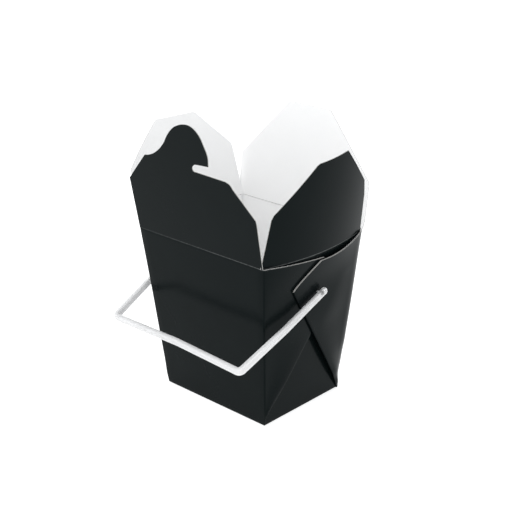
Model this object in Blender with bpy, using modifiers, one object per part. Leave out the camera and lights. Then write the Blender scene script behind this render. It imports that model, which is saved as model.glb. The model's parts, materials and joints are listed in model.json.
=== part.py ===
"""An open noodle takeaway box of folded board: a tub, four lid flaps and a bail handle.

Metres, +Z up. The origin is the centre of the bottom, the front faces -Y and the ends
face -X and +X.
"""

import math

import bmesh
import bpy
from mathutils import Matrix, Vector

MM = 0.001

# The tub, outside sizes. It widens evenly from the bottom up to the crease under the flaps.
BOTTOM_WIDTH = 81 * MM
BOTTOM_DEPTH = 67 * MM
TOP_WIDTH = 97.5 * MM
TOP_DEPTH = 87.5 * MM
CREASE_HEIGHT = 104 * MM
BOARD = 0.45 * MM
HINGE_GAP = 0.35 * MM

# Each end wall is flat at the bottom and bows outward towards its crease.
END_BOW = 6 * MM
BOW_POWER = 4
END_DIP = 0.6 * MM

# The corners are folded double and lie flat outside the end walls, the back one over the front one.
FOLD_THICKNESS = 1 * MM
LAYER_GAP = 0.25 * MM
ROOT_STEP = 0.8 * MM
ROOT_RISE = 3 * MM
ROOT_INSET = 0.2 * MM
FOLD_FOOT = 1.5 * MM
FOLD_FOOT_WIDTH = 0.8 * MM
TIP_HEIGHT = 84.3 * MM
TIP_PAST_MIDDLE = 20.8 * MM
RIM_PAST_MIDDLE = 1.8 * MM
RIM_GAP = 0.25 * MM
RIM_DIP = 3.4 * MM
RIM_LIFT = 1 * MM
LIFT_START = 82 * MM
OVERLAP_RAMP = 11 * MM
OVERLAP_MARGIN = 1 * MM

# The flaps stand open, each leaning out from the vertical.
FRONT_TILT = math.radians(10.0)
BACK_TILT = math.radians(7.3)
LEFT_TILT = math.radians(9.2)
RIGHT_TILT = math.radians(7.5)
END_HINGE_DROP = 4.6 * MM

# The bail handle: its pegs turn in holes through the end walls.
PIVOT_HEIGHT = 78.4 * MM
ARM_PLANE = 54.3 * MM
ARM_LENGTH = 67.1 * MM
HANDLE_DIP = math.radians(24.5)
ROD_RADIUS = 2.3 * MM
PIVOT_ROD_RATIO = 0.88
HANDLE_CORNER = 4.5 * MM
BOSS_RADIUS = 2.25 * MM
BOSS_HALF_WIDTH = 2.15 * MM
PEG_RADIUS = 1.6 * MM
PEG_HOLE_RADIUS = 2.4 * MM
HEAD_RADIUS = 3 * MM
HEAD_INNER = 45.9 * MM
HEAD_THICKNESS = 1.2 * MM

# The front flap's outline as (across, height, turn) in mm, from its left foot round its
# tongue and hook slot.
FRONT_OUTLINE = (
    (-48.1, 0.35, "sharp"),
    (-50.1, 33.0, "sharp"),
    (-32.6, 51.3, "sharp"),
    (-29.0, 52.0, "round"),
    (-20.5, 56.6, "round"),
    (-13.2, 64.0, "round"),
    (-8.3, 70.6, "round"),
    (3.5, 76.9, "round"),
    (13.6, 73.6, "round"),
    (17.6, 67.4, "round"),
    (19.7, 60.5, "round"),
    (18.9, 54.9, "sharp"),
    (9.4, 54.2, "sharp"),
    (6.0, 51.8, "round"),
    (8.0, 49.4, "sharp"),
    (30.6, 48.6, "sharp"),
    (33.3, 47.2, "sharp"),
    (49.8, 30.0, "sharp"),
    (48.1, 0.35, "sharp"),
)

# The back flap is a plain trapezoid with cut shoulders.
BACK_OUTLINE = (
    (-48.1, 0.35, "sharp"),
    (-50.1, 28.0, "sharp"),
    (-15.8, 65.8, "sharp"),
    (16.4, 65.8, "sharp"),
    (50.1, 28.0, "sharp"),
    (48.1, 0.35, "sharp"),
)

# The end flaps' outlines in mm, as (across, height) up the front edge and up the back edge.
RIGHT_EDGES = (
    ((-42.1, 0), (-39.1, 29.5), (-12.5, 54.3)),
    ((42.1, 0), (38.3, 34.0), (13.5, 57.3)),
)
LEFT_EDGES = (
    ((-42.1, 0), (-39.8, 34.0), (-16.7, 58.6)),
    ((42.1, 0), (39.8, 34.0), (15.4, 57.8)),
)

# How finely the curved shapes are cut into faces.
WALL_ROWS = 12
WALL_COLUMNS = 12
FOLD_COLUMNS = 10
FOLD_SPREAD = 1.5
ROWS_BELOW_TIP = 9
ROWS_ABOVE_TIP = 4
FLAP_COLUMNS = 10
FLAP_ROWS = 6
CURVE_STEPS = 5
ROD_RESOLUTION = 4
PEG_SIDES = 24

BLACK = (0.021, 0.024, 0.026, 1)
WHITE = (0.85, 0.85, 0.86, 1)


def clear_scene():
    for obj in list(bpy.data.objects):
        bpy.data.objects.remove(obj, do_unlink=True)


def new_collection(name):
    collection = bpy.data.collections.new(name)
    bpy.context.scene.collection.children.link(collection)
    return collection


def new_material(name, colour, roughness):
    material = bpy.data.materials.new(name)
    material.use_nodes = True
    shader = material.node_tree.nodes["Principled BSDF"]
    shader.inputs["Base Color"].default_value = colour
    shader.inputs["Roughness"].default_value = roughness
    shader.inputs["Metallic"].default_value = 0
    return material


def mesh_object(name, shape, collection, material):
    """Turns a bmesh into an object of the collection, shaded smooth but for its sharp edges."""
    mesh = bpy.data.meshes.new(name)
    shape.to_mesh(mesh)
    shape.free()
    mesh.shade_smooth()
    mesh.set_sharp_from_angle(angle=math.radians(30))
    mesh.materials.append(material)
    obj = bpy.data.objects.new(name, mesh)
    collection.objects.link(obj)
    return obj


def make_helper(obj):
    obj.hide_render = True
    obj.display_type = "WIRE"
    return obj


def add_board(obj, thickness):
    """Gives an open surface its thickness, inward from the side that its faces point to."""
    solidify = obj.modifiers.new("Board", "SOLIDIFY")
    solidify.thickness = thickness
    solidify.offset = -1
    solidify.use_even_offset = True


def add_boolean(obj, name, operation, other):
    boolean = obj.modifiers.new(name, "BOOLEAN")
    boolean.operation = operation
    boolean.solver = "EXACT"
    if isinstance(other, bpy.types.Collection):
        boolean.operand_type = "COLLECTION"
        boolean.collection = other
    else:
        boolean.object = other


def smooth(share):
    share = min(max(share, 0), 1)
    return share * share * (3 - 2 * share)


def between(low, high, share):
    return low + (high - low) * share


def half_width(height):
    return between(BOTTOM_WIDTH, TOP_WIDTH, height / CREASE_HEIGHT) / 2


def half_depth(height):
    return between(BOTTOM_DEPTH, TOP_DEPTH, height / CREASE_HEIGHT) / 2


def crown(y, height):
    """One at the middle of an end wall and nothing at its corners, in a round arc."""
    return 1 - (y / half_depth(height)) ** 2


def bow(y, height):
    return END_BOW * crown(y, height) * (height / CREASE_HEIGHT) ** BOW_POWER


def end_dip(y, height):
    return END_DIP * crown(y, height) * (height / CREASE_HEIGHT) ** BOW_POWER


def edges_along(shape, axis):
    """The edges that run more along this axis (0, 1 or 2) than half the bottom's depth."""
    return [
        edge
        for edge in shape.edges
        if abs(edge.verts[0].co[axis] - edge.verts[1].co[axis]) > BOTTOM_DEPTH / 2
    ]


def make_tub(collection, material):
    """Bottom and four walls, from a cube without its top."""
    top = CREASE_HEIGHT - HINGE_GAP
    shape = bmesh.new()
    bmesh.ops.create_cube(shape, size=2)
    for vert in shape.verts:
        height = top if vert.co.z > 0 else 0
        side_x, side_y = vert.co.x, vert.co.y
        vert.co = Vector((side_x * half_width(height), side_y * half_depth(height), height))
    lid = [face for face in shape.faces if face.normal.z > 0.9]
    bmesh.ops.delete(shape, geom=lid, context="FACES_ONLY")
    uprights = edges_along(shape, 2)
    bmesh.ops.subdivide_edges(shape, edges=uprights, cuts=WALL_ROWS - 1, use_grid_fill=True)
    across = edges_along(shape, 1)
    bmesh.ops.subdivide_edges(shape, edges=across, cuts=WALL_COLUMNS - 1, use_grid_fill=True)
    for vert in shape.verts:
        x, y, z = vert.co
        if abs(x) > half_width(z) - 0.01 * MM:
            vert.co.x = math.copysign(half_width(z) + bow(y, z), x)
            vert.co.z = z - end_dip(y, z)
    bmesh.ops.recalc_face_normals(shape, faces=shape.faces[:])
    tub = mesh_object("carton", shape, collection, material)
    if shape_points_inward(tub.data):
        tub.data.flip_normals()
    add_board(tub, BOARD)
    return tub


def shape_points_inward(mesh):
    """True if the faces of an open tub point to its inside."""
    middle = Vector((0, 0, CREASE_HEIGHT / 2))
    return sum((face.center - middle).dot(face.normal) * face.area for face in mesh.polygons) < 0


def free_edge(height):
    """How far past the middle a folded corner reaches: straight up to its tip, then back along its cut."""
    if height <= TIP_HEIGHT:
        foot = FOLD_FOOT_WIDTH - half_depth(0)
        return between(foot, TIP_PAST_MIDDLE, height / TIP_HEIGHT)
    share = (height - TIP_HEIGHT) / (CREASE_HEIGHT - TIP_HEIGHT)
    return between(TIP_PAST_MIDDLE, RIM_PAST_MIDDLE, share)


def fold_height(row):
    """Height of a row of the folded corner, with a row right at its tip."""
    if row <= ROWS_BELOW_TIP:
        return between(FOLD_FOOT, TIP_HEIGHT, row / ROWS_BELOW_TIP)
    top = CREASE_HEIGHT - HINGE_GAP - RIM_GAP
    return between(TIP_HEIGHT, top, (row - ROWS_BELOW_TIP) / ROWS_ABOVE_TIP)


def fold_point(across, row, lies_over):
    """A point of a back right corner's outer skin, from its corner edge (across 0) to its free edge (1)."""
    level = fold_height(row)
    corner = half_depth(level) - ROOT_INSET
    free = -free_edge(level)
    y = between(corner, free, across)
    height = level - RIM_DIP * crown(y, level) * (level / CREASE_HEIGHT) ** BOW_POWER
    own_level = FOLD_THICKNESS + LAYER_GAP
    proud = between(ROOT_STEP, own_level, smooth((corner - y) / ROOT_RISE))
    if lies_over:
        start = -free + OVERLAP_MARGIN + OVERLAP_RAMP
        proud += own_level * smooth((start - y) / OVERLAP_RAMP)
    rise = smooth((level - LIFT_START) / (CREASE_HEIGHT - LIFT_START))
    proud += RIM_LIFT * crown(y, level) * rise
    return Vector((half_width(height) + bow(y, height) + proud, y, height))


def make_fold(name, side_x, side_y, collection, material):
    """One corner of the board, folded double and laid on the end wall."""
    rows = ROWS_BELOW_TIP + ROWS_ABOVE_TIP
    shape = bmesh.new()
    bmesh.ops.create_grid(shape, x_segments=FOLD_COLUMNS, y_segments=rows, size=1)
    for vert in shape.verts:
        across = ((vert.co.x + 1) / 2) ** FOLD_SPREAD
        row = round((vert.co.y + 1) / 2 * rows)
        point = fold_point(across, row, lies_over=side_y > 0)
        vert.co = Vector((point.x * side_x, point.y * side_y, point.z))
    shape.normal_update()
    if sum(face.normal.x * side_x for face in shape.faces) < 0:
        bmesh.ops.reverse_faces(shape, faces=shape.faces[:])
    fold = make_helper(mesh_object(name, shape, collection, material))
    add_board(fold, FOLD_THICKNESS)
    return fold


def make_cylinder(name, radius, low, high, collection, material):
    """A cylinder along X between two x values, on the X axis."""
    shape = bmesh.new()
    middle = Matrix.Translation(((low + high) / 2, 0, 0))
    turn = Matrix.Rotation(math.radians(90), 4, "Y")
    bmesh.ops.create_cone(
        shape,
        cap_ends=True,
        segments=PEG_SIDES,
        radius1=radius,
        radius2=radius,
        depth=abs(high - low),
        matrix=middle @ turn,
    )
    return mesh_object(name, shape, collection, material)


def make_carton(collection, helpers, material):
    """The one folded piece of board: tub and doubled corners, with the holes for the handle's pegs."""
    carton = make_tub(collection, material)
    folds = bpy.data.collections.new("corner folds")
    helpers.children.link(folds)
    for end, side_x in (("left", -1), ("right", 1)):
        for face, side_y in (("front", -1), ("back", 1)):
            make_fold(f"fold {face} {end}", side_x, side_y, folds, material)
    add_boolean(carton, "Corner folds", "UNION", folds)
    drill = make_cylinder("peg hole", PEG_HOLE_RADIUS, -TOP_WIDTH, TOP_WIDTH, helpers, material)
    drill.location.z = PIVOT_HEIGHT
    add_boolean(carton, "Peg holes", "DIFFERENCE", make_helper(drill))
    return carton


def make_long_flap(name, outline, side_y, tilt, collection, material):
    """A flat flap on the front or back crease, as a filled outline as thick as the board."""
    curve = bpy.data.curves.new(name, "CURVE")
    curve.dimensions = "2D"
    curve.fill_mode = "BOTH"
    curve.extrude = BOARD / 2
    curve.resolution_u = CURVE_STEPS if any(turn == "round" for _, _, turn in outline) else 1
    spline = curve.splines.new("BEZIER")
    spline.bezier_points.add(len(outline) - 1)
    spline.use_cyclic_u = True
    for point, (across, height, turn) in zip(spline.bezier_points, outline):
        handle = "AUTO" if turn == "round" else "VECTOR"
        point.handle_left_type = handle
        point.handle_right_type = handle
        point.co = (across * MM, height * MM, 0)
    curve.materials.append(material)
    flap = bpy.data.objects.new(name, curve)
    flap.location = (0, side_y * (TOP_DEPTH - BOARD) / 2, CREASE_HEIGHT)
    flap.rotation_euler.x = math.radians(90) - side_y * tilt
    collection.objects.link(flap)
    return flap


def along(edge, share):
    """The point of an edge of three points at a share of its way, with a third point at half."""
    foot, corner, top = (Vector(point) * MM for point in edge)
    if share < 0.5:
        return foot.lerp(corner, share * 2)
    return corner.lerp(top, share * 2 - 1)


def make_end_flap(name, edges, side_x, tilt, collection, material):
    """A flap on a bowed end crease: it keeps the wall's bow all the way up."""
    hinge_x = half_width(CREASE_HEIGHT) + END_BOW / 2 - BOARD / 2
    hinge = Vector((hinge_x, 0, CREASE_HEIGHT - END_HINGE_DROP))
    shape = bmesh.new()
    bmesh.ops.create_grid(shape, x_segments=FLAP_COLUMNS, y_segments=FLAP_ROWS, size=1)
    front_edge, back_edge = edges
    for vert in shape.verts:
        across, up = (vert.co.x + 1) / 2, (vert.co.y + 1) / 2
        y, height = along(front_edge, up).lerp(along(back_edge, up), across)
        out = half_width(CREASE_HEIGHT) + bow(y, CREASE_HEIGHT) + height * math.sin(tilt)
        rise = CREASE_HEIGHT - end_dip(y, CREASE_HEIGHT) + height * math.cos(tilt)
        vert.co = Vector(((out - hinge.x) * side_x, y, rise - hinge.z))
    shape.normal_update()
    if sum(face.normal.x * side_x for face in shape.faces) < 0:
        bmesh.ops.reverse_faces(shape, faces=shape.faces[:])
    flap = mesh_object(name, shape, collection, material)
    flap.location = (hinge.x * side_x, 0, hinge.z)
    add_board(flap, BOARD)
    return flap


def handle_path():
    """The bail's middle line, from its right pivot round to its left one, as (point, thickness ratio)."""
    right = [(Vector((ARM_PLANE, 0, 0)), PIVOT_ROD_RATIO)]
    centre = Vector((ARM_PLANE - HANDLE_CORNER, HANDLE_CORNER - ARM_LENGTH, 0))
    for step in range(CURVE_STEPS + 1):
        angle = math.radians(90) * step / CURVE_STEPS
        reach = Vector((math.cos(angle), -math.sin(angle), 0)) * HANDLE_CORNER
        right.append((centre + reach, 1))
    left = [(Vector((-point.x, point.y, 0)), ratio) for point, ratio in reversed(right)]
    return right + left


def make_rod(collection, material):
    """The bail's bent rod as a mesh, tapering a little towards its pivots."""
    curve = bpy.data.curves.new("rod", "CURVE")
    curve.dimensions = "3D"
    curve.bevel_depth = ROD_RADIUS
    curve.bevel_resolution = ROD_RESOLUTION
    curve.use_fill_caps = True
    path = handle_path()
    spline = curve.splines.new("POLY")
    spline.points.add(len(path) - 1)
    for point, (place, ratio) in zip(spline.points, path):
        point.co = (*place, 1)
        point.radius = ratio
    source = bpy.data.objects.new("rod", curve)
    collection.objects.link(source)
    bpy.context.view_layer.update()
    evaluated = source.evaluated_get(bpy.context.evaluated_depsgraph_get())
    mesh = bpy.data.meshes.new_from_object(evaluated)
    shape = bmesh.new()
    shape.from_mesh(mesh)
    bmesh.ops.remove_doubles(shape, verts=shape.verts[:], dist=0.01 * MM)
    bpy.data.objects.remove(source, do_unlink=True)
    return mesh_object("handle", shape, collection, material)


def make_handle(collection, helpers, material):
    """The bail with its two bosses, pegs and the heads that keep the pegs in their holes."""
    handle = make_rod(collection, material)
    ends = bpy.data.collections.new("handle ends")
    helpers.children.link(ends)
    for side in (-1, 1):
        parts = (
            ("boss", BOSS_RADIUS, ARM_PLANE - BOSS_HALF_WIDTH, ARM_PLANE + BOSS_HALF_WIDTH),
            ("peg", PEG_RADIUS, HEAD_INNER + HEAD_THICKNESS / 2, ARM_PLANE),
            ("head", HEAD_RADIUS, HEAD_INNER, HEAD_INNER + HEAD_THICKNESS),
        )
        for part, radius, low, high in parts:
            piece = make_cylinder(f"{part} {side}", radius, side * low, side * high, ends, material)
            make_helper(piece)
    add_boolean(handle, "Ends", "UNION", ends)
    handle.rotation_euler.x = HANDLE_DIP
    for piece in ends.objects:
        piece.rotation_euler.x = HANDLE_DIP
    for piece in (handle, *ends.objects):
        piece.location.z = PIVOT_HEIGHT
    return handle


def main():
    clear_scene()
    box = new_collection("noodle takeaway box")
    helpers = new_collection("cutters")
    board = new_material("black coated board", BLACK, 0.35)
    plastic = new_material("white plastic", WHITE, 0.4)
    make_carton(box, helpers, board)
    make_long_flap("front_flap", FRONT_OUTLINE, -1, FRONT_TILT, box, board)
    make_long_flap("back_flap", BACK_OUTLINE, 1, BACK_TILT, box, board)
    make_end_flap("left_flap", LEFT_EDGES, -1, LEFT_TILT, box, board)
    make_end_flap("right_flap", RIGHT_EDGES, 1, RIGHT_TILT, box, board)
    make_handle(box, helpers, plastic)


main()
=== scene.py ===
"""The looks of an open noodle takeaway box: glossy black board, white inside, and a white bail.

The walls and the doubled corner folds are one sheet of board, lofted from a section that runs
round the box, out and back along each folded corner. Metres, +Z up, in the CAD model's frame:
the front faces -Y and the ends face -X and +X.
"""

import json
import math

import bmesh
import bpy
from mathutils import Matrix, Vector

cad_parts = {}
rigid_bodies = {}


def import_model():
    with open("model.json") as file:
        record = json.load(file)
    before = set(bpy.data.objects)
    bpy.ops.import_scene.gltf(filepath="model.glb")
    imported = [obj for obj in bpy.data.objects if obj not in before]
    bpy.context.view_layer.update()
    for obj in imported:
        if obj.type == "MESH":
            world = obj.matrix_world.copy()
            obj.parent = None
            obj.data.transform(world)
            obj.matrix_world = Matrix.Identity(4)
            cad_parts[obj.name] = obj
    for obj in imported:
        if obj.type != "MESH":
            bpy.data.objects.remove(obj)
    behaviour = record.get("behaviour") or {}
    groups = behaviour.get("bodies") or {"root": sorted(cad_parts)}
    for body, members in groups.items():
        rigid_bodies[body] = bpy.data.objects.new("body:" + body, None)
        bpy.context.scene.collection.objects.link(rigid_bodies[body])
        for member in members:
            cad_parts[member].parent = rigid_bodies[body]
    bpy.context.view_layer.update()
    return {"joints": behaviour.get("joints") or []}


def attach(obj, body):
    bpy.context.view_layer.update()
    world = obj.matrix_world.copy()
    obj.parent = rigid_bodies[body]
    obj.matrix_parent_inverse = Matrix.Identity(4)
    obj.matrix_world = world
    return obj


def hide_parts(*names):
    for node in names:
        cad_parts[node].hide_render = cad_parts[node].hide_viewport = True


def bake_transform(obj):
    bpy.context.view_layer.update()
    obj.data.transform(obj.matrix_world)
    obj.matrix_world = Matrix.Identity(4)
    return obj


bl_info = {
    "name": "Noodle takeaway box",
    "version": (1, 0, 0),
    "blender": (4, 5, 0),
    "location": "3D View > Sidebar > Box",
    "description": "Builds an open folded-board food box with lid flaps and a bail handle",
    "category": "Add Mesh",
}

for startup_object in list(bpy.data.objects):
    bpy.data.objects.remove(startup_object, do_unlink=True)

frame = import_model()
JOINTS = {joint["name"]: Vector(joint["pos_m"]) for joint in frame["joints"]}

MM = 0.001

# The tub, outside sizes. The crease and the pivots stand where the joints are, and the board's
# outer face lies half of the allowance outside the crease's joints.
BOARD = 0.42 * MM
END_BOW = 6 * MM
BOW_POWER = 4
END_DIP = 0.6 * MM
CREASE_HEIGHT = JOINTS["front_crease"].z
PIVOT_HEIGHT = JOINTS["handle_swing"].z
BOTTOM_WIDTH = 82 * MM
BOTTOM_DEPTH = 66.6 * MM
CREASE_ALLOWANCE = 0.45 * MM
TOP_WIDTH = 2 * JOINTS["right_crease"].x - END_BOW + CREASE_ALLOWANCE
TOP_DEPTH = 2 * JOINTS["back_crease"].y + CREASE_ALLOWANCE
BOTTOM_ROUND = 0.4 * MM

# The corners are folded double and lie outside the end walls, the back one over the front one.
# Their free edges spring off the wall. Each list gives (level, stand) in mm, at the fold's root
# at the corner and at its free edge.
FOLD_THICKNESS = 1 * MM
LAYER_GAP = 0.25 * MM
LEAST_GAP = 0.05 * MM
FOOT_WIDTH = 0.8 * MM
FOLD_TOP = CREASE_HEIGHT - 0.1 * MM
FRONT_ROOT_STAND = ((0, 0.1), (9, 0.7), (50, 1.1), (104, 1.8))
FRONT_EDGE_STAND = ((0, 0.1), (9, 1.3), (25, 2.5), (57, 2.5), (84.3, 1.3), (104, 1.6))
BACK_ROOT_STAND = ((0, 0.8), (8, 0.6), (22, 1.3), (35, 1.9), (60, 2.1), (104, 1.8))
BACK_EDGE_STAND = ((0, 0.8), (7, 2.4), (16, 3.9), (30, 4.3), (57, 4.2), (84.3, 2.8), (104, 3.2))

# A fold's free edge climbs to a tip past the end wall's middle, and its cut goes back from there
# to the rim. The front fold's edge is a straight line up to the tip's reach.
TIP_HEIGHT = 84.3 * MM
TIP_PAST_MIDDLE = 20.8 * MM
RIM_PAST_MIDDLE = 1.8 * MM
FRONT_EDGE_SLOPE = 0.757
FRONT_EDGE_PAST_MIDDLE = 49.6 * MM

# The rims of the folds hang below the crease, over this reach from the middle.
FRONT_RIM_DIP = 3.9 * MM
FRONT_RIM_REACH = 41 * MM
BACK_RIM_DIP = 4.9 * MM
BACK_RIM_LOWEST = 6 * MM
BACK_RIM_REACH = 34 * MM

# Where the two folds overlap, and for a margin beyond, they keep their free edge's stand.
OVERLAP_MARGIN = 1.5 * MM
OVERLAP_SOFTNESS = 3 * MM

# The corners' rounding, as (across, along) the end wall. Folds shorter than a reach have less of
# it, and the front corner gets narrower up to its crease.
FRONT_CORNER = (0.9 * MM, 0.9 * MM)
BACK_CORNER = (2.3 * MM, 7 * MM)
CREASE_CORNER_SHARE = 0.55
CREASE_CORNER_FADE = 20 * MM
ACROSS_REACH = 4 * MM
ALONG_REACH = 10 * MM

# The lower layer of a fold turns back into the wall behind the corner, out of sight and thin.
INNER_REACH = 0.72
INNER_INSET = 0.95 * MM
THIN_SHARE = 0.1
THIN_FOOT = 6 * MM

# The flaps stand open, each leaning out from the vertical. Their grids are cut closer together over
# a short height at their feet, and a crease is a shallow line pressed into the board.
FRONT_TILT = math.radians(10.0)
BACK_TILT = math.radians(7.3)
LEFT_TILT = math.radians(9.2)
RIGHT_TILT = math.radians(7.5)
BEND_HEIGHT = 6 * MM
CREASE_LINE = 0.4 * MM
CREASE_DEPTH = 0.1 * MM

# The front flap's outline in mm, from its left foot round its tongue and hook slot.
FRONT_OUTLINE = (
    (-50.3, 0, "sharp"),
    (-50.8, 33.0, "sharp"),
    (-33.2, 51.2, "sharp"),
    (-29.3, 52.1, "round"),
    (-23.4, 54.9, "round"),
    (-15.6, 61.3, "round"),
    (-10.5, 67.8, "round"),
    (-5.4, 72.7, "round"),
    (-1.9, 74.8, "round"),
    (5.2, 76.9, "round"),
    (9.7, 76.6, "round"),
    (14.7, 73.1, "round"),
    (18.0, 66.2, "round"),
    (19.5, 61.0, "round"),
    (18.9, 54.8, "sharp"),
    (10.4, 54.3, "sharp"),
    (7.8, 53.7, "round"),
    (5.8, 51.2, "round"),
    (6.5, 49.6, "round"),
    (8.6, 49.4, "sharp"),
    (30.5, 48.7, "sharp"),
    (33.6, 47.5, "round"),
    (35.4, 45.1, "sharp"),
    (49.6, 29.9, "sharp"),
    (49.9, 27.5, "sharp"),
    (49.7, 0, "sharp"),
)
BACK_OUTLINE = (
    (-49.6, 0, "sharp"),
    (-52.6, 10.0, "sharp"),
    (-52.5, 26.8, "sharp"),
    (-51.2, 28.6, "sharp"),
    (-16.6, 65.3, "sharp"),
    (-14.8, 66.0, "sharp"),
    (15.6, 65.6, "sharp"),
    (17.1, 65.0, "sharp"),
    (49.9, 29.0, "sharp"),
    (50.6, 27.0, "sharp"),
    (50.4, 5.0, "sharp"),
    (49.6, 0, "sharp"),
)

# The end flaps' outlines in mm, as (across, height) up the front edge and up the back edge.
RIGHT_EDGES = (
    ((-44.2, 0), (-43.4, 5.0), (-40.6, 28.9), (-39.2, 31.6), (-12.8, 55.3), (-10.9, 56.2)),
    ((42.0, 0), (40.8, 2.5), (39.6, 24.0), (36.9, 33.8), (13.9, 57.4), (12.6, 58.6)),
)
LEFT_EDGES = (
    ((-43.4, 0), (-42.4, 5.0), (-41.4, 32.0), (-40.6, 35.5), (-12.9, 58.2), (-11.5, 59.0)),
    ((43.4, 0), (42.9, 5.0), (40.3, 30.1), (39.6, 34.4), (17.8, 57.6), (16.1, 58.4)),
)

# Their top edges are hollow by a little, and the left flap is twisted towards the front.
TOP_HOLLOW = 0.3 * MM
LEFT_TWIST = math.radians(3.7)
TWIST_REACH = 40 * MM

# The bail handle's path in mm, from its right end round its crossbar to its left end.
BAIL_PATH = (
    (54.8, 4.5, 79.6),
    (54.0, -30.3, 64.8),
    (51.3, -64.0, 50.3),
    (0, -62.2, 51.2),
    (-53.8, -63.1, 51.1),
    (-56.8, -34.0, 63.4),
    (-54.8, 4.5, 79.6),
)

# It is sprung into holes through the end walls: its pegs go through them to heads inside, and a
# small round mark stands over each peg on the outside.
PEG_PLANE = 54.8 * MM
PEG_RADIUS = 0.6 * MM
HEAD_RADIUS = 3 * MM
HEAD_INNER = 45.9 * MM
HEAD_THICKNESS = 1.2 * MM
HEAD_ROUND = 0.45 * MM
HEAD_ROUND_MIDDLE = 0.3
MARK_RADIUS = 0.95 * MM
MARK_HEIGHT = 0.12 * MM

# The arms taper to this share of the bar at their ends. The rounded tips stay open by a hair, so
# that they don't close to a point.
END_RATIO = 0.88
END_OPENING = 0.0002

# How finely the curved pieces are cut into faces.
WALL_STEPS = 10
ROUND_STEPS = 7
LAYER_STEPS = 24
TURN_STEPS = 6
VALLEY_STEPS = 2
END_STEPS = 18
TURN_START = WALL_STEPS + ROUND_STEPS + LAYER_STEPS
FOOT_STEPS = 4
ROWS_BELOW_TIP = 40
ROWS_ABOVE_TIP = 12
FLAP_COLUMNS = 30
FLAP_ROWS = 10
GRID_STEP = 6 * MM
BEND_STEPS = 8
BOTTOM_STEPS = 8
PATH_STEP = 0.5 * MM
CURVE_STEPS = 12
TURNED_SIDES = 40
SHARP_ANGLE = math.radians(38)
MERGE_DISTANCE = 0.005 * MM
CUT_DISTANCE = 0.001 * MM

# The camera stands where the photograph was taken from.
CAMERA_AZIMUTH = math.radians(43.39)
CAMERA_ELEVATION = math.radians(21.59)
CAMERA_ROLL = math.radians(-0.30)
CAMERA_DISTANCE = 701.6 * MM
CAMERA_TARGET = Vector((0, 0, 52 * MM))
CAMERA_RIGHT = 2.38 * MM
CAMERA_UP = 31.92 * MM
CAMERA_LENS = 80.71
CAMERA_SENSOR = 36

# The stage: two soft lights over the box, and a floor just under it.
LIGHT_TARGET = (0, 0, 0.1)
KEY_PLACE = (-0.5, -0.3, 1.3)
KEY_SIZE = (1.2, 1.2)
FILL_PLACE = (0.35, -0.76, 1.1)
FILL_SIZE = (1, 1)
FLOOR_DROP = 0.3 * MM


def smooth(share):
    share = min(max(share, 0), 1)
    return share * share * (3 - 2 * share)


def between(low, high, share):
    return low + (high - low) * share


def half_width(height):
    return between(BOTTOM_WIDTH, TOP_WIDTH, height / CREASE_HEIGHT) / 2


def half_depth(height):
    return between(BOTTOM_DEPTH, TOP_DEPTH, height / CREASE_HEIGHT) / 2


def crown(y, height):
    """One at the middle of an end wall and nothing at its corners, in a round arc."""
    return 1 - (y / half_depth(height)) ** 2


def bow(y, height):
    return END_BOW * crown(y, height) * (height / CREASE_HEIGHT) ** BOW_POWER


def end_dip(y, height):
    return END_DIP * crown(y, height) * (height / CREASE_HEIGHT) ** BOW_POWER


def read_off(stops, level):
    """The value at a level of a list of (level, value) stops in mm, with rounded steps."""
    for (low, start), (high, end) in zip(stops, stops[1:]):
        if level <= high * MM:
            return between(start, end, smooth((level / MM - low) / (high - low))) * MM
    return stops[-1][1] * MM


def free_edge(height, lies_over):
    """How far past the middle a folded corner reaches: up to its tip, then back along its cut."""
    if height > TIP_HEIGHT:
        share = (height - TIP_HEIGHT) / (CREASE_HEIGHT - TIP_HEIGHT)
        return between(TIP_PAST_MIDDLE, RIM_PAST_MIDDLE, share)
    if lies_over:
        return between(FOOT_WIDTH - half_depth(0), TIP_PAST_MIDDLE, height / TIP_HEIGHT)
    past = FRONT_EDGE_SLOPE * (height - FRONT_EDGE_PAST_MIDDLE)
    return min(max(past, FOOT_WIDTH - half_depth(height)), TIP_PAST_MIDDLE)


def proud(y, level, lies_over):
    """How far a folded corner's outer skin stands off the end wall."""
    root_stands = BACK_ROOT_STAND if lies_over else FRONT_ROOT_STAND
    edge_stands = BACK_EDGE_STAND if lies_over else FRONT_EDGE_STAND
    root_stand, edge_stand = read_off(root_stands, level), read_off(edge_stands, level)
    reached = math.hypot(free_edge(level, lies_over), OVERLAP_SOFTNESS) + OVERLAP_MARGIN
    span = max(half_depth(level) - reached, OVERLAP_MARGIN)
    return between(root_stand, edge_stand, smooth((half_depth(level) - y) / span))


def rim_dip(y, level, lies_over):
    """How far below the crease a folded corner's rim hangs, fading out down to the tip's level."""
    share = min(max((level - TIP_HEIGHT) / (FOLD_TOP - TIP_HEIGHT), 0), 1)
    if lies_over:
        return share * BACK_RIM_DIP * max(1 - ((y - BACK_RIM_LOWEST) / BACK_RIM_REACH) ** 2, 0)
    return share * FRONT_RIM_DIP * max(1 - y / FRONT_RIM_REACH, 0)


def corner_size(level, lies_over):
    """The corner rounding's size across and along the end wall, small where the fold is narrow."""
    across, along = BACK_CORNER if lies_over else FRONT_CORNER
    reach = half_depth(level) + free_edge(level, lies_over)
    if not lies_over:
        share = smooth((level - TIP_HEIGHT) / CREASE_CORNER_FADE)
        across *= between(1, CREASE_CORNER_SHARE, share)
    return across * min(1, reach / ACROSS_REACH), along * min(1, reach / ALONG_REACH)


def corner_drop(y, level, lies_over):
    """How far the end wall and its folds bend in along the corner's rounding."""
    across, along = corner_size(level, lies_over)
    share = min(max((y - half_depth(level) + along) / along, 0), 1)
    return across * (1 - math.sqrt(1 - share * share))


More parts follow.
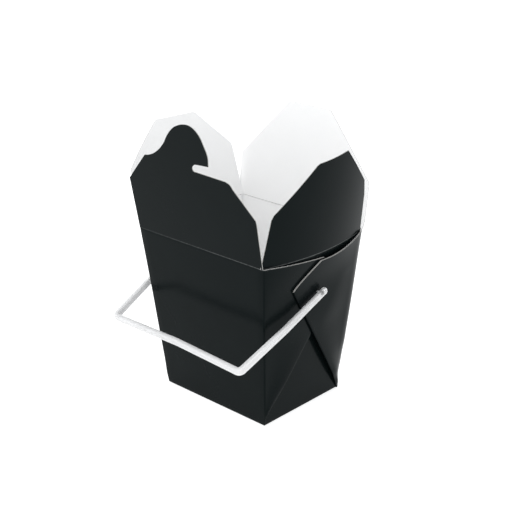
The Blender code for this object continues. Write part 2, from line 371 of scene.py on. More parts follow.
def fold_skin(y, level, lies_over, depth=0.0):
    """A point of a back right corner fold, this deep under its outer skin."""
    height = level - rim_dip(y, level, lies_over)
    stand = proud(y, level, lies_over) - depth - corner_drop(y, level, lies_over)
    return Vector((half_width(height) + bow(y, height) + stand, y, height))


def end_wall_skin(y, level, lies_over):
    """A point of the end wall's coated face, which the folds lie on."""
    out = half_width(level) + bow(y, level) - corner_drop(y, level, lies_over)
    return Vector((out, y, level - end_dip(y, level)))


def quarter_section(level, lies_over, at_cut):
    """The sheet's section from the middle of a long wall to the middle of an end wall.

    It runs along the wall, round the corner, out along the folded corner, back under itself
    and along the end wall. Above the fold's tip its two layers end at their cut (at_cut).
    """
    depth = half_depth(level)
    fold_level = level * FOLD_TOP / CREASE_HEIGHT
    free = -free_edge(fold_level, lies_over)
    along = corner_size(fold_level, lies_over)[1]
    root = depth - along
    wall_end = fold_skin(depth, fold_level, lies_over).x
    points = [
        Vector((wall_end * step / WALL_STEPS, depth, level)) for step in range(WALL_STEPS)
    ]
    for step in range(ROUND_STEPS):
        angle = math.pi / 2 * step / ROUND_STEPS
        point = fold_skin(root + along * math.cos(angle), fold_level, lies_over)
        point.z = between(level, point.z, smooth(step / ROUND_STEPS))
        points.append(point)
    thick = min(FOLD_THICKNESS, proud(free, fold_level, lies_over) - LEAST_GAP)
    turn = 0 if at_cut else min(thick, root - free) / 2
    last = free + turn
    for step in range(LAYER_STEPS):
        y = between(root, last, step / LAYER_STEPS)
        points.append(fold_skin(y, fold_level, lies_over))
    for step in range(TURN_STEPS + 1):
        angle = math.pi * step / TURN_STEPS
        point = fold_skin(last, fold_level, lies_over, thick / 2 * (1 - math.cos(angle)))
        point.y -= turn * math.sin(angle)
        points.append(point)
    inner_root = max(min(root + along * INNER_REACH, depth - INNER_INSET), last + LEAST_GAP)
    for step in range(1, LAYER_STEPS + 1):
        y = between(last, inner_root, step / LAYER_STEPS)
        layer = min(thick, proud(y, fold_level, lies_over) - LEAST_GAP)
        points.append(fold_skin(y, fold_level, lies_over, layer))
    valley_start = points[-1]
    wall_start = end_wall_skin(inner_root, level, lies_over)
    for step in range(1, VALLEY_STEPS):
        middle = valley_start.lerp(wall_start, step / VALLEY_STEPS)
        middle.y += LAYER_GAP / 2
        points.append(middle)
    for step in range(END_STEPS + 1):
        points.append(end_wall_skin(between(inner_root, 0, step / END_STEPS), level, lies_over))
    return points


def row_levels():
    """The sheet's rows and the number of the one at the folds' tips."""
    tip = TIP_HEIGHT * CREASE_HEIGHT / FOLD_TOP
    turns = [math.pi / 2 * step / FOOT_STEPS for step in range(FOOT_STEPS)]
    foot = [BOTTOM_ROUND * (1 - math.cos(turn)) for turn in turns]
    body = [
        between(BOTTOM_ROUND, tip, step / ROWS_BELOW_TIP) for step in range(ROWS_BELOW_TIP)
    ]
    top = CREASE_HEIGHT - CREASE_LINE
    cut = [between(tip, top, step / ROWS_ABOVE_TIP) for step in range(ROWS_ABOVE_TIP + 1)]
    return foot + body + cut + [CREASE_HEIGHT], len(foot) + len(body)


def board_shares(level):
    """The share of the board's thickness at each point of a section.

    It is thin where the lower layer turns back behind the corner, and at the foot all along that
    layer, so that none of it comes out through the upper one.
    """
    seen = TURN_START
    if level > THIN_FOOT:
        seen += TURN_STEPS + 1 + LAYER_STEPS // 2
    hidden = len(quarter_section(level, False, False)) - END_STEPS - seen
    return [1] * seen + [THIN_SHARE] * hidden + [1] * END_STEPS


def mirrored(points, side_x, side_y):
    return [Vector((point.x * side_x, point.y * side_y, point.z)) for point in points]


def closed_ring(front_right, back_right, back_left, front_left):
    """Joins four quarters, each given from its long wall to its end wall, into one closed ring."""
    return front_right + back_right[-2::-1] + back_left[1:] + front_left[-2:0:-1]


def ring_section(level, at_cut):
    """The sheet's whole closed section at one level."""
    front = quarter_section(level, False, at_cut)
    back = quarter_section(level, True, at_cut)
    return closed_ring(
        mirrored(front, 1, -1), back, mirrored(back, -1, 1), mirrored(front, -1, -1)
    )


def turn_columns():
    """The columns of faces that close a folded corner's free edge, all round the ring."""
    count = len(quarter_section(CREASE_HEIGHT, False, True))
    outward = range(TURN_START, TURN_START + TURN_STEPS)
    found = set()
    for start in (0, 2 * (count - 1)):
        found |= {start + column for column in outward}
        found |= {start + 2 * (count - 1) - 1 - column for column in outward}
    return found


def round_bottom(point):
    """Draws the foot of a wall in along a quarter circle, as the fold into the bottom has it."""
    if point.z >= BOTTOM_ROUND:
        return point
    rest = BOTTOM_ROUND - point.z
    inset = BOTTOM_ROUND - math.sqrt(BOTTOM_ROUND**2 - rest**2)
    return Vector((
        math.copysign(max(abs(point.x) - inset, 0), point.x),
        math.copysign(max(abs(point.y) - inset, 0), point.y),
        point.z,
    ))


def new_object(name, shape, materials):
    """Turns a bmesh into an object of the scene."""
    mesh = bpy.data.meshes.new(name)
    shape.to_mesh(mesh)
    shape.free()
    for material in materials:
        mesh.materials.append(material)
    obj = bpy.data.objects.new(name, mesh)
    bpy.context.scene.collection.objects.link(obj)
    return obj


def board_materials():
    """The sheet's outer face, inner face and cut edge, in Solidify's order."""
    return (
        shared_material("black coated board", coated_board),
        shared_material("white board", plain_board),
        shared_material("cut board edge", cut_edge),
    )


def give_board(obj, thickness, shares=""):
    """Makes an open surface a sheet of board, inward from its coated face, and applies it."""
    solidify = obj.modifiers.new("Board", "SOLIDIFY")
    solidify.thickness = thickness
    solidify.offset = -1
    solidify.use_even_offset = False
    solidify.vertex_group = shares
    solidify.material_offset = 1
    solidify.material_offset_rim = 2
    return smoothed(bake_modifiers(obj))


def smoothed(obj):
    """Shades the object smooth but for its sharp edges."""
    obj.data.shade_smooth()
    obj.data.set_sharp_from_angle(angle=SHARP_ANGLE)
    return obj


def bake_modifiers(obj):
    """Replaces the object's mesh with its evaluated one and drops the modifiers."""
    evaluated = obj.evaluated_get(bpy.context.evaluated_depsgraph_get())
    mesh = bpy.data.meshes.new_from_object(evaluated)
    if obj.type == "MESH":
        obj.modifiers.clear()
        obj.data = mesh
        return obj
    solid = bpy.data.objects.new(obj.name, mesh)
    bpy.context.scene.collection.objects.link(solid)
    bpy.data.objects.remove(obj, do_unlink=True)
    return solid


def make_walls(thickness):
    """The four walls and the doubled corners, as one sheet that closes on itself."""
    levels, tip_row = row_levels()
    shape = bmesh.new()
    crease = shape.verts.layers.float.new("crease")
    weight = shape.verts.layers.deform.new()
    rows = []
    for row, level in enumerate(levels):
        points = ring_section(level, row > tip_row)
        ring = [shape.verts.new(round_bottom(point)) for point in points]
        shares = board_shares(level)
        for vert, share in zip(ring, closed_ring(shares, shares, shares, shares)):
            vert[weight][0] = share
        rows.append(ring)
    # The top row is the crease, pressed in along the two long walls.
    for vert in rows[-1]:
        vert[crease] = 1
        if abs(abs(vert.co.y) - half_depth(CREASE_HEIGHT)) < MERGE_DISTANCE:
            vert.co.y -= math.copysign(CREASE_DEPTH, vert.co.y)
    # Above the tips the two layers of a fold stand apart at their cut.
    open_columns = turn_columns()
    count = len(rows[0])
    for row in range(len(rows) - 1):
        for column in range(count):
            if row >= tip_row and column in open_columns:
                continue
            after = (column + 1) % count
            low, high = rows[row], rows[row + 1]
            shape.faces.new((low[column], low[after], high[after], high[column]))
    shape.normal_update()
    walls = new_object("walls_and_corner_folds", shape, board_materials())
    walls.vertex_groups.new(name="board")
    return give_board(walls, thickness, "board")


def make_bottom(thickness):
    """The flat bottom, which fills the ring of the walls' rounded feet."""
    shape = bmesh.new()
    bmesh.ops.create_grid(shape, x_segments=BOTTOM_STEPS, y_segments=BOTTOM_STEPS, size=1)
    for vert in shape.verts:
        vert.co.x *= half_width(0) - BOTTOM_ROUND
        vert.co.y *= half_depth(0) - BOTTOM_ROUND
    bmesh.ops.reverse_faces(shape, faces=shape.faces[:])
    return give_board(new_object("bottom_board", shape, board_materials()), thickness)


def outline_shape(outline):
    """The filled outline of a long flap in its own plane, cut into a grid."""
    curve = bpy.data.curves.new("outline", "CURVE")
    curve.dimensions = "2D"
    curve.fill_mode = "NONE"
    curve.resolution_u = CURVE_STEPS if any(turn == "round" for _, _, turn in outline) else 1
    spline = curve.splines.new("BEZIER")
    spline.bezier_points.add(len(outline) - 1)
    spline.use_cyclic_u = True
    for point, (across, height, turn) in zip(spline.bezier_points, outline):
        handle = "AUTO" if turn == "round" else "VECTOR"
        point.handle_left_type = handle
        point.handle_right_type = handle
        point.co = (across * MM, height * MM, 0)
    source = bpy.data.objects.new("outline", curve)
    bpy.context.scene.collection.objects.link(source)
    bpy.context.view_layer.update()
    flat = bake_modifiers(source)
    shape = bmesh.new()
    shape.from_mesh(flat.data)
    bpy.data.objects.remove(flat, do_unlink=True)
    bmesh.ops.remove_doubles(shape, verts=shape.verts[:], dist=MERGE_DISTANCE)
    bmesh.ops.dissolve_degenerate(shape, edges=shape.edges[:], dist=MERGE_DISTANCE)
    bmesh.ops.contextual_create(shape, geom=shape.edges[:])
    cut_grid(shape)
    return shape


def cut_grid(shape):
    """Cuts a flat shape along lines, close together near the flap's crease."""
    widest = max(abs(vert.co.x) for vert in shape.verts)
    tallest = max(vert.co.y for vert in shape.verts)
    bends = [BEND_HEIGHT * step / BEND_STEPS for step in range(1, BEND_STEPS + 1)]
    steps = int((tallest - BEND_HEIGHT) / GRID_STEP)
    rest = [BEND_HEIGHT + GRID_STEP * step for step in range(1, steps + 1)]
    columns = int(widest / GRID_STEP)
    cuts = [((0, height, 0), (0, 1, 0)) for height in [CREASE_LINE] + bends + rest]
    cuts += [((GRID_STEP * step, 0, 0), (1, 0, 0)) for step in range(-columns, columns + 1)]
    for place, normal in cuts:
        geometry = shape.verts[:] + shape.edges[:] + shape.faces[:]
        bmesh.ops.bisect_plane(
            shape, geom=geometry, dist=CUT_DISTANCE, plane_co=place, plane_no=normal
        )


def make_long_flap(name, outline, side_y, tilt, thickness):
    """A flat flap on the front or back crease."""
    shape = outline_shape(outline)
    crease = shape.verts.layers.float.new("crease")
    for vert in shape.verts:
        across, height = vert.co.x, vert.co.y
        on_crease = height < CREASE_LINE / 2
        vert[crease] = 1 if on_crease else 0
        out = TOP_DEPTH / 2 + height * math.sin(tilt) - (CREASE_DEPTH if on_crease else 0)
        vert.co = Vector((across, out * side_y, CREASE_HEIGHT + height * math.cos(tilt)))
    face_outward(shape, Vector((0, side_y, 0)))
    return give_board(new_object(name, shape, board_materials()), thickness)


def face_outward(shape, outward):
    shape.normal_update()
    if sum(face.normal.dot(outward) * face.calc_area() for face in shape.faces) < 0:
        bmesh.ops.reverse_faces(shape, faces=shape.faces[:])


def edge_point(edge, row, rows_per_leg):
    """The point of a flap's side edge at a row, with the same number of rows on each leg."""
    leg = min(row // rows_per_leg, len(edge) - 2)
    low, high = (Vector(point) * MM for point in edge[leg:leg + 2])
    return low.lerp(high, row / rows_per_leg - leg)


def make_end_flap(name, edges, side_x, tilt, twist, thickness):
    """A flap on a bowed end crease: it keeps the wall's bow all the way up."""
    front_edge, back_edge = edges
    rows = FLAP_ROWS * (len(front_edge) - 1)
    shape = bmesh.new()
    crease = shape.verts.layers.float.new("crease")
    bmesh.ops.create_grid(shape, x_segments=FLAP_COLUMNS, y_segments=rows, size=1)
    for vert in shape.verts:
        across = (vert.co.x + 1) / 2
        row = round((vert.co.y + 1) / 2 * rows)
        front, back = (edge_point(edge, row, FLAP_ROWS) for edge in (front_edge, back_edge))
        y, height = front.lerp(back, across)
        over_top_third = smooth(row / rows * 3 - 2)
        height -= TOP_HOLLOW * math.sin(math.pi * across) * over_top_third
        vert[crease] = 1 if row == 0 else 0
        lean = tilt + twist * (1 - y / TWIST_REACH)
        out = half_width(CREASE_HEIGHT) + bow(y, CREASE_HEIGHT) + height * math.sin(lean)
        rise = CREASE_HEIGHT - end_dip(y, CREASE_HEIGHT) + height * math.cos(lean)
        vert.co = Vector((out * side_x, y, rise))
    face_outward(shape, Vector((side_x, 0, 0)))
    return give_board(new_object(name, shape, board_materials()), thickness)


def crease_bend(flap, body):
    """Bakes the flap's placement into its mesh and hides its body's CAD part."""
    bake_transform(flap)
    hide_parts(body)


class Graph:
    """A node tree with one method that adds any node."""

    def __init__(self, tree):
        self.tree = tree

    def node(self, kind, settings=None, inputs=None, output=0):
        """Adds a node, sets it up, then fills its sockets with values or links."""
        node = self.tree.nodes.new(kind)
        for name, value in (settings or {}).items():
            setattr(node, name, value)
        for name, value in (inputs or {}).items():
            if isinstance(value, Value):
                self.tree.links.new(value.socket, node.inputs[name])
            else:
                node.inputs[name].default_value = value
        return Value(self, node.outputs[output])


class Value:
    """An output socket that sums and products work on, each adding its Math node."""

    def __init__(self, graph, socket):
        self.graph = graph
        self.socket = socket

    def maths(self, operation, first, second):
        kind = "ShaderNodeMath"
        return self.graph.node(kind, {"operation": operation}, {0: first, 1: second})

    def vector_maths(self, operation, first, second):
        kind = "ShaderNodeVectorMath"
        return self.graph.node(kind, {"operation": operation}, {0: first, 1: second})

    def __add__(self, other):
        return self.maths("ADD", self, other)

    def __radd__(self, other):
        return self.maths("ADD", other, self)

    def __sub__(self, other):
        return self.maths("SUBTRACT", self, other)

    def __rsub__(self, other):
        return self.maths("SUBTRACT", other, self)

    def __mul__(self, other):
        return self.maths("MULTIPLY", self, other)

    def __rmul__(self, other):
        return self.maths("MULTIPLY", other, self)


def shared_material(name, finish):
    """The material of this name, finished the first time that it is asked for."""
    if name not in bpy.data.materials:
        material = bpy.data.materials.new(name)
        material.use_nodes = True
        graph = Graph(material.node_tree)
        shader = material.node_tree.nodes["Principled BSDF"]
        for socket, value in finish(graph).items():
            if isinstance(value, Value):
                graph.tree.links.new(value.socket, shader.inputs[socket])
            else:
                shader.inputs[socket].default_value = value
    return bpy.data.materials[name]


def object_place(graph):
    return graph.node("ShaderNodeTexCoord", output=3)


def crease_mark(graph):
    """One along a crease and nothing off it, from the mesh's own attribute."""
    return graph.node("ShaderNodeAttribute", {"attribute_name": "crease"}, output=2)


def noise(graph, place, scale, detail, roughness=0.5):
    """A noise from about 0 to 1 around a half, with this many cells to the metre."""
    inputs = {"Vector": place, "Scale": scale, "Detail": detail, "Roughness": roughness}
    return graph.node("ShaderNodeTexNoise", {"noise_dimensions": "3D"}, inputs)


def stretched(graph, place, factors):
    """The place scaled along each axis: a factor under one draws a pattern out along it."""
    return graph.node(
        "ShaderNodeMapping", {"vector_type": "POINT"}, {"Vector": place, "Scale": factors}
    )


def mixed(graph, factor, first, second):
    inputs = {0: factor, 6: first, 7: second}
    return graph.node("ShaderNodeMix", {"data_type": "RGBA"}, inputs, output=2)


def dimmed(colour, share):
    """The colour with this share of its light left."""
    return tuple(channel * share for channel in colour[:3]) + (1,)


def bumped(graph, height, strength, distance):
    inputs = {"Height": height, "Strength": strength, "Distance": distance}
    return graph.node("ShaderNodeBump", None, inputs)


def coated_board(graph):
    """The sheet's outer face: black coating with a soft gloss over the board's faint fibres.

    Along the creases the coating is mixed to a lighter grey, more so towards the box's right.
    """
    board = bpy.context.scene.box_board
    place = object_place(graph)
    crease = crease_mark(graph)
    cloud = noise(graph, place, scale=55, detail=3)
    drawn_up = stretched(graph, place, (1, 1, 0.35))
    fibre = noise(graph, drawn_up, scale=900, detail=4, roughness=0.6)
    across = graph.node("ShaderNodeSeparateXYZ", None, {"Vector": place})
    toward_right = across * 6 + 0.5
    toward_right = toward_right.maths("MAXIMUM", toward_right, 0.12)
    # A lighter grey mixed in along the creases, stronger towards the box's right.
    crease_grey = crease * noise(graph, place, scale=450, detail=2) * toward_right * 1.8
    black = tuple(board.coat_colour)
    colour = mixed(graph, cloud, dimmed(black, 0.7), black)
    return {
        "Base Color": mixed(graph, crease_grey, colour, tuple(board.crease_colour)),
        "Roughness": board.coat_roughness + cloud * 0.06 + fibre * 0.05 + crease * 0.25 - 0.055,
        "Specular IOR Level": board.coat_shine,
        "Specular Tint": tuple(board.coat_tint),
        "Normal": bumped(graph, fibre + cloud * 2, strength=0.25, distance=0.02 * MM),
    }


def plain_board(graph):
    """The sheet's inner face: smooth white board with a faint grain, pressed along its creases,
    where painted shade darkens it.
    """
    place = object_place(graph)
    cloud = noise(graph, place, scale=70, detail=3)
    drawn_up = stretched(graph, place, (1, 1, 0.4))
    fibre = noise(graph, drawn_up, scale=1100, detail=4, roughness=0.6)
    white = tuple(bpy.context.scene.box_board.inside_colour)
    colour = mixed(graph, cloud * 0.6 + fibre * 0.4, dimmed(white, 0.955), white)
    return {
        # Painted shade: the white is darkened along the creases.
        "Base Color": mixed(graph, crease_mark(graph) * 0.7, colour, dimmed(white, 0.93)),
        "Roughness": 0.52 + fibre * 0.1,
        "Specular IOR Level": 0.35,
        "Normal": bumped(graph, fibre + cloud, strength=0.3, distance=0.02 * MM),
    }


def cut_edge(graph):
    """The cut through the board, where its grey-white core shows."""
    fibre = noise(graph, object_place(graph), scale=1500, detail=4, roughness=0.65)
    core = tuple(bpy.context.scene.box_board.core_colour)
    return {
        "Base Color": mixed(graph, fibre, dimmed(core, 0.72), core),
        "Roughness": 0.85,
        "Normal": bumped(graph, fibre, strength=0.6, distance=0.05 * MM),
    }


def white_plastic(graph):
    """The bail's moulded plastic: soft gloss, a faint flow mottle, and light spreads inside it."""
    handle = bpy.context.scene.box_handle
    place = object_place(graph)
    flow = noise(graph, stretched(graph, place, (0.4, 1, 1)), scale=260, detail=3)
    peel = noise(graph, place, scale=1400, detail=2)
    white = tuple(handle.colour)
    return {
        "Base Color": mixed(graph, flow, dimmed(white, 0.96), white),
        "Roughness": handle.roughness + flow * 0.08 - 0.04,
        "Subsurface Weight": 1.0,
        "Subsurface Radius": (1, 1, 1),
        "Subsurface Scale": handle.light_reach,
        "Normal": bumped(graph, flow * 2 + peel, strength=0.25, distance=0.03 * MM),
    }


def pale_floor(graph):
    stage = bpy.context.scene.box_stage
    return {
        "Base Color": tuple(stage.floor_colour),
        "Roughness": 0.9,
        "Specular IOR Level": 0.0,
        "Emission Color": (1, 1, 1, 1),
        "Emission Strength": stage.floor_glow,
    }


def turned_peg():
    """A peg with its head, turned about the X axis, and the small round mark over it.

    The bar's middle is at the origin, the head is at the -X end and the mark at the +X end.
    """
    head_far = PEG_PLANE - HEAD_INNER
    head_near = head_far - HEAD_THICKNESS
    soft, softer = HEAD_ROUND, HEAD_ROUND * HEAD_ROUND_MIDDLE
    bar_face = bpy.context.scene.box_handle.bar_depth / 2 * END_RATIO
    profile = (
        (bar_face + MARK_HEIGHT, 0),
        (bar_face + MARK_HEIGHT, MARK_RADIUS - MARK_HEIGHT),
        (bar_face, MARK_RADIUS),
        (0, MARK_RADIUS),
        (0, PEG_RADIUS),
        (-head_near, PEG_RADIUS),
        (-head_near, HEAD_RADIUS - soft),
        (-head_near - softer, HEAD_RADIUS - softer),
        (-head_near - HEAD_THICKNESS / 2, HEAD_RADIUS),
        (softer - head_far, HEAD_RADIUS - softer),
        (-head_far, HEAD_RADIUS - soft),
        (-head_far, 0),
    )
    shape = bmesh.new()
    verts = [shape.verts.new((x, 0, radius)) for x, radius in profile]
    edges = [shape.edges.new(pair) for pair in zip(verts, verts[1:])]
    bmesh.ops.spin(
        shape,
        geom=verts + edges,
        cent=(0, 0, 0),
        axis=(1, 0, 0),
        angle=2 * math.pi,
        steps=TURNED_SIDES,
    )
    bmesh.ops.remove_doubles(shape, verts=shape.verts[:], dist=MERGE_DISTANCE)
    bmesh.ops.recalc_face_normals(shape, faces=shape.faces[:])
    return new_object("bail peg", shape, (shared_material("white plastic", white_plastic),))


def bail_nodes():
    """Geometry nodes that sweep a rounded bar along a path and set a peg near each end."""
    tree = bpy.data.node_groups.new("Bail along a path", "GeometryNodeTree")
    sockets = tree.interface
    sockets.new_socket("Path", in_out="INPUT", socket_type="NodeSocketGeometry")
    for name in ("Bar width", "Bar depth", "Bar edge", "Corner radius", "Arm length", "End ratio"):
        sockets.new_socket(name, in_out="INPUT", socket_type="NodeSocketFloat")
    sockets.new_socket("Peg", in_out="INPUT", socket_type="NodeSocketObject")
    sockets.new_socket("Peg place", in_out="INPUT", socket_type="NodeSocketVector")
    sockets.new_socket("Material", in_out="INPUT", socket_type="NodeSocketMaterial")
    sockets.new_socket("Bail", in_out="OUTPUT", socket_type="NodeSocketGeometry")
    graph = Graph(tree)
    inputs = tree.nodes.new("NodeGroupInput")

    def given(name):
        return Value(graph, inputs.outputs[name])

    rounded = graph.node(
        "GeometryNodeFilletCurve", {"mode": "POLY"},
        {"Curve": given("Path"), "Radius": given("Corner radius"), "Count": CURVE_STEPS},
    )
    stepped = graph.node(
        "GeometryNodeResampleCurve", {"mode": "LENGTH"}, {"Curve": rounded, "Length": PATH_STEP}
    )
    along = graph.node("GeometryNodeSplineParameter", output=1)
    whole = graph.node("GeometryNodeSplineLength")
    from_end = along.maths("MINIMUM", along, whole - along)
    arm_share = from_end.maths("DIVIDE", from_end, given("Arm length"))
    arm_share = arm_share.maths("MINIMUM", arm_share, 1.0)
    ratio = given("End ratio") + (1 - given("End ratio")) * arm_share
    cap = given("Bar width") * given("End ratio") * 0.5
    short = 1 - from_end.maths("MINIMUM", from_end.maths("DIVIDE", from_end, cap), 1.0)
    round_end = short.maths("SQRT", 1 + END_OPENING - short * short, 0.0)
    section = graph.node(
        "GeometryNodeCurvePrimitiveQuadrilateral", {"mode": "RECTANGLE"},
        {"Width": given("Bar depth"), "Height": given("Bar width")},
    )
    section = graph.node(
        "GeometryNodeFilletCurve", {"mode": "POLY"},
        {"Curve": section, "Radius": given("Bar edge"), "Count": CURVE_STEPS // 2},
    )
    bar = graph.node(
        "GeometryNodeCurveToMesh", None,
        {"Curve": stepped, "Profile Curve": section, "Scale": ratio * round_end, "Fill Caps": True},
    )
    place = given("Peg place")
    across = place.vector_maths("MULTIPLY", place, (-2, 0, 0))
    places = graph.node(
        "GeometryNodeMeshLine", {"mode": "OFFSET"},
        {"Count": 2, "Start Location": place, "Offset": across},
    )
    turn = graph.node(
        "ShaderNodeCombineXYZ", None, {"Z": graph.node("GeometryNodeInputIndex") * math.pi}
    )
    peg = graph.node("GeometryNodeObjectInfo", None, {"Object": given("Peg")}, output=4)
    pegs = graph.node(
        "GeometryNodeInstanceOnPoints", None,
        {"Points": places, "Instance": peg, "Rotation": turn},
    )
    joined = tree.nodes.new("GeometryNodeJoinGeometry")
    for part in (pegs, bar):
        tree.links.new(part.socket, joined.inputs[0])
    solid = graph.node(
        "GeometryNodeRealizeInstances", None, {"Geometry": Value(graph, joined.outputs[0])}
    )
    finished = graph.node(
        "GeometryNodeSetMaterial", None, {"Geometry": solid, "Material": given("Material")}
    )
    output = tree.nodes.new("NodeGroupOutput")
    tree.links.new(finished.socket, output.inputs["Bail"])
    return tree


def set_input(modifier, name, value):
    """Sets a geometry nodes input by its socket's identifier."""
    for item in modifier.node_group.interface.items_tree:
        if item.item_type == "SOCKET" and item.in_out == "INPUT" and item.name == name:
            modifier[item.identifier] = value
            return
    raise RuntimeError(f"the node group has no input named {name}")


def make_handle(settings):
    """The bail, swept along its path by geometry nodes and made a plain mesh."""
    places = [Vector(place) * MM for place in BAIL_PATH]
    curve = bpy.data.curves.new("bail path", "CURVE")
    curve.dimensions = "3D"
    spline = curve.splines.new("POLY")
    spline.points.add(len(places) - 1)
    for point, place in zip(spline.points, places):
        point.co = (*place, 1)
    source = bpy.data.objects.new("bail_handle", curve)
    bpy.context.scene.collection.objects.link(source)
    peg = turned_peg()
    modifier = source.modifiers.new("Bail", "NODES")
    modifier.node_group = bail_nodes()
    for name, value in (
        ("Bar width", settings.bar_width),
        ("Bar depth", settings.bar_depth),
        ("Bar edge", settings.bar_edge),
        ("Corner radius", settings.bar_corner),
        ("Arm length", (places[0] - places[2]).length),
        ("End ratio", END_RATIO),
        ("Peg", peg),
        ("Peg place", (PEG_PLANE, 0, PIVOT_HEIGHT)),
        ("Material", shared_material("white plastic", white_plastic)),
    ):
        set_input(modifier, name, value)
    bpy.context.view_layer.update()
    handle = bake_modifiers(source)
    bpy.data.objects.remove(peg, do_unlink=True)
    handle.name = "bail_handle"
    return smoothed(handle)


def camera_axes():
    """The camera's right, up and back directions."""
    back = Vector((
        math.sin(CAMERA_AZIMUTH) * math.cos(CAMERA_ELEVATION),
        -math.cos(CAMERA_AZIMUTH) * math.cos(CAMERA_ELEVATION),
        math.sin(CAMERA_ELEVATION),
    ))
    right = Vector((math.cos(CAMERA_AZIMUTH), math.sin(CAMERA_AZIMUTH), 0))
    up = back.cross(right)
    cosine, sine = math.cos(CAMERA_ROLL), math.sin(CAMERA_ROLL)
    return cosine * right + sine * up, cosine * up - sine * right, back


def make_camera():
    right, up, back = camera_axes()
    data = bpy.data.cameras.new("camera")
    data.sensor_width = CAMERA_SENSOR
    data.lens = CAMERA_LENS
    data.dof.use_dof = False
    camera = bpy.data.objects.new("camera", data)
    turn = Matrix((right, up, back)).transposed().to_4x4()
    place = CAMERA_TARGET + right * CAMERA_RIGHT + up * CAMERA_UP + back * CAMERA_DISTANCE
    camera.matrix_world = Matrix.Translation(place) @ turn
    bpy.context.scene.collection.objects.link(camera)
    bpy.context.scene.camera = camera


def make_area_light(name, place, size, energy):
    """A soft light that points at the box."""
    data = bpy.data.lights.new(name, "AREA")
    data.shape = "RECTANGLE"
    data.size, data.size_y = size
    data.energy = energy
    light = bpy.data.objects.new(name, data)
    light.location = place
    facing = Vector(LIGHT_TARGET) - Vector(place)
    light.rotation_euler = facing.to_track_quat("-Z", "Y").to_euler()
    bpy.context.scene.collection.objects.link(light)


def make_floor(stage):
    shape = bmesh.new()
    bmesh.ops.create_grid(shape, x_segments=1, y_segments=1, size=stage.floor_size / 2)
    floor = new_object("floor", shape, (shared_material("pale floor", pale_floor),))
    floor.location.z = -FLOOR_DROP


def make_world(stage):
    world = bpy.data.worlds.new("soft room")
    world.use_nodes = True
    background = world.node_tree.nodes["Background"]
    background.inputs["Color"].default_value = tuple(stage.room_colour)
    background.inputs["Strength"].default_value = stage.room_strength
    bpy.context.scene.world = world


class BoardSettings(bpy.types.PropertyGroup):
    """The sheet of board that the box is folded from."""

    thickness: bpy.props.FloatProperty(
        name="Thickness", description="Thickness of the board", default=BOARD, unit="LENGTH"
    )
    coat_colour: bpy.props.FloatVectorProperty(
        name="Coating", description="Colour of the coated outer face", subtype="COLOR",
        size=4, default=(0.0036, 0.0058, 0.006, 1),
    )
    coat_tint: bpy.props.FloatVectorProperty(
        name="Coating tint", description="Tint of what the coating reflects", subtype="COLOR",
        size=4, default=(0.84, 0.98, 1, 1),
    )
    coat_roughness: bpy.props.FloatProperty(
        name="Coating roughness", description="Roughness of the coating", default=0.2,
        min=0, max=1, subtype="FACTOR",
    )
    coat_shine: bpy.props.FloatProperty(
        name="Coating shine", description="How strongly the coating reflects", default=0.045,
        min=0, max=1, subtype="FACTOR",
    )
    # The lighter grey that the coating is mixed to along the creases.
    crease_colour: bpy.props.FloatVectorProperty(
        name="Crease", description="Colour of the coating where a crease has cracked it",
        subtype="COLOR", size=4, default=(0.11, 0.115, 0.115, 1),
    )
    inside_colour: bpy.props.FloatVectorProperty(
        name="Inside", description="Colour of the plain inner face", subtype="COLOR",
        size=4, default=(0.92, 0.918, 0.915, 1),
    )
    core_colour: bpy.props.FloatVectorProperty(
        name="Core", description="Colour of the cut edges", subtype="COLOR",
        size=4, default=(0.44, 0.43, 0.41, 1),
    )


class HandleSettings(bpy.types.PropertyGroup):
    """The moulded bail."""

    bar_width: bpy.props.FloatProperty(
        name="Bar width", description="Width of the bar as seen from its side",
        default=4.4 * MM, unit="LENGTH",
    )
    bar_depth: bpy.props.FloatProperty(
        name="Bar depth", description="Depth of the bar towards the box", default=2.9 * MM,
        unit="LENGTH",
    )
    bar_edge: bpy.props.FloatProperty(
        name="Bar edge", description="Radius along the bar's edges", default=0.7 * MM,
        unit="LENGTH",
    )
    bar_corner: bpy.props.FloatProperty(
        name="Bar corner", description="Radius of the bend between an arm and the crossbar",
        default=2.6 * MM, unit="LENGTH",
    )
    colour: bpy.props.FloatVectorProperty(
        name="Colour", description="Colour of the plastic", subtype="COLOR",
        size=4, default=(0.575, 0.575, 0.577, 1),
    )
    roughness: bpy.props.FloatProperty(
        name="Roughness", description="Roughness of the plastic", default=0.38,
        min=0, max=1, subtype="FACTOR",
    )
    light_reach: bpy.props.FloatProperty(
        name="Light reach", description="How far light spreads inside the plastic",
        default=8 * MM, min=0, unit="LENGTH",
    )


class StageSettings(bpy.types.PropertyGroup):
    """The floor and the soft studio light."""

    floor_size: bpy.props.FloatProperty(
        name="Floor size", description="Side of the square floor", default=12, unit="LENGTH"
    )
    floor_colour: bpy.props.FloatVectorProperty(
        name="Floor", description="Colour of the floor", subtype="COLOR",
        size=4, default=(0.7, 0.7, 0.7, 1),
    )
    floor_glow: bpy.props.FloatProperty(
        name="Floor glow", description="Light that the floor gives back by itself",
        default=0.65, min=0,
    )
    room_colour: bpy.props.FloatVectorProperty(
        name="Room", description="Colour of the light all round", subtype="COLOR",
        size=4, default=(0.97, 0.985, 1, 1),
    )
    room_strength: bpy.props.FloatProperty(
        name="Room strength", description="Strength of the light all round", default=1.0,
        min=0,
    )
    key_power: bpy.props.FloatProperty(
        name="Key light", description="Power of the soft light over the box", default=4.2,
        min=0, unit="POWER",
    )
    fill_power: bpy.props.FloatProperty(
        name="Fill light", description="Power of the soft light from over the camera", default=3.0,
        min=0, unit="POWER",
    )


class BOX_OT_walls(bpy.types.Operator):
    """Add the four walls with their doubled corner folds"""

    bl_idname = "noodle_box.walls"
    bl_label = "Walls and corner folds"

    def execute(self, context):
        walls = make_walls(context.scene.box_board.thickness)
        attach(walls, "carton")
        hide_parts("carton")
        return {"FINISHED"}


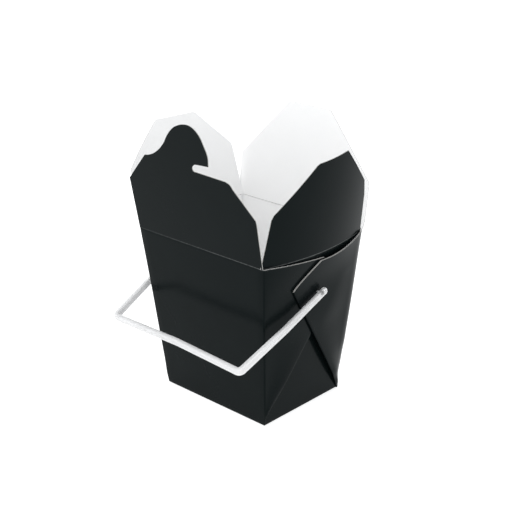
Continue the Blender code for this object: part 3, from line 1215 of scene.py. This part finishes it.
class BOX_OT_bottom(bpy.types.Operator):
    """Add the flat bottom"""

    bl_idname = "noodle_box.bottom"
    bl_label = "Bottom"

    def execute(self, context):
        bottom = make_bottom(context.scene.box_board.thickness)
        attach(bottom, "carton")
        return {"FINISHED"}


class BOX_OT_long_flaps(bpy.types.Operator):
    """Add the front flap with its tongue and the back flap"""

    bl_idname = "noodle_box.long_flaps"
    bl_label = "Front and back flaps"

    def execute(self, context):
        thickness = context.scene.box_board.thickness
        for body, outline, side_y, tilt in (
            ("front_flap", FRONT_OUTLINE, -1, FRONT_TILT),
            ("back_flap", BACK_OUTLINE, 1, BACK_TILT),
        ):
            flap = make_long_flap(f"{body}_board", outline, side_y, tilt, thickness)
            crease_bend(flap, body)
        return {"FINISHED"}


class BOX_OT_end_flaps(bpy.types.Operator):
    """Add the two bowed end flaps"""

    bl_idname = "noodle_box.end_flaps"
    bl_label = "End flaps"

    def execute(self, context):
        thickness = context.scene.box_board.thickness
        for body, edges, side_x, tilt, twist in (
            ("left_flap", LEFT_EDGES, -1, LEFT_TILT, LEFT_TWIST),
            ("right_flap", RIGHT_EDGES, 1, RIGHT_TILT, 0),
        ):
            flap = make_end_flap(f"{body}_board", edges, side_x, tilt, twist, thickness)
            crease_bend(flap, body)
        return {"FINISHED"}


class BOX_OT_handle(bpy.types.Operator):
    """Add the bail handle with its pegs"""

    bl_idname = "noodle_box.handle"
    bl_label = "Bail handle"

    def execute(self, context):
        handle = make_handle(context.scene.box_handle)
        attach(handle, "handle")
        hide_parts("handle")
        return {"FINISHED"}


class BOX_OT_stage(bpy.types.Operator):
    """Add the camera, the pale floor and the soft studio light"""

    bl_idname = "noodle_box.stage"
    bl_label = "Camera, floor and light"

    def execute(self, context):
        stage = context.scene.box_stage
        make_camera()
        make_floor(stage)
        make_world(stage)
        make_area_light("key light", KEY_PLACE, KEY_SIZE, stage.key_power)
        make_area_light("fill light", FILL_PLACE, FILL_SIZE, stage.fill_power)
        context.scene.view_settings.view_transform = "Standard"
        return {"FINISHED"}


class BOX_PT_panel(bpy.types.Panel):
    """The box's settings and its pieces"""

    bl_idname = "BOX_PT_panel"
    bl_label = "Noodle takeaway box"
    bl_space_type = "VIEW_3D"
    bl_region_type = "UI"
    bl_category = "Box"

    def draw(self, context):
        for settings in (context.scene.box_board, context.scene.box_handle, context.scene.box_stage):
            column = self.layout.column(align=True)
            for name in settings.bl_rna.properties.keys():
                if name not in ("rna_type", "name"):
                    column.prop(settings, name)
        for operator in OPERATORS:
            self.layout.operator(operator.bl_idname)


OPERATORS = (
    BOX_OT_walls,
    BOX_OT_bottom,
    BOX_OT_long_flaps,
    BOX_OT_end_flaps,
    BOX_OT_handle,
    BOX_OT_stage,
)
SETTINGS = {
    "box_board": BoardSettings,
    "box_handle": HandleSettings,
    "box_stage": StageSettings,
}


def register():
    for cls in (*SETTINGS.values(), *OPERATORS, BOX_PT_panel):
        bpy.utils.register_class(cls)
    for name, cls in SETTINGS.items():
        setattr(bpy.types.Scene, name, bpy.props.PointerProperty(type=cls))


def unregister():
    for name in SETTINGS:
        delattr(bpy.types.Scene, name)
    for cls in (BOX_PT_panel, *reversed(OPERATORS), *reversed(SETTINGS.values())):
        bpy.utils.unregister_class(cls)


def main():
    register()
    bpy.ops.noodle_box.walls()
    bpy.ops.noodle_box.bottom()
    bpy.ops.noodle_box.long_flaps()
    bpy.ops.noodle_box.end_flaps()
    bpy.ops.noodle_box.handle()
    bpy.ops.noodle_box.stage()


if __name__ == "__main__":
    main()
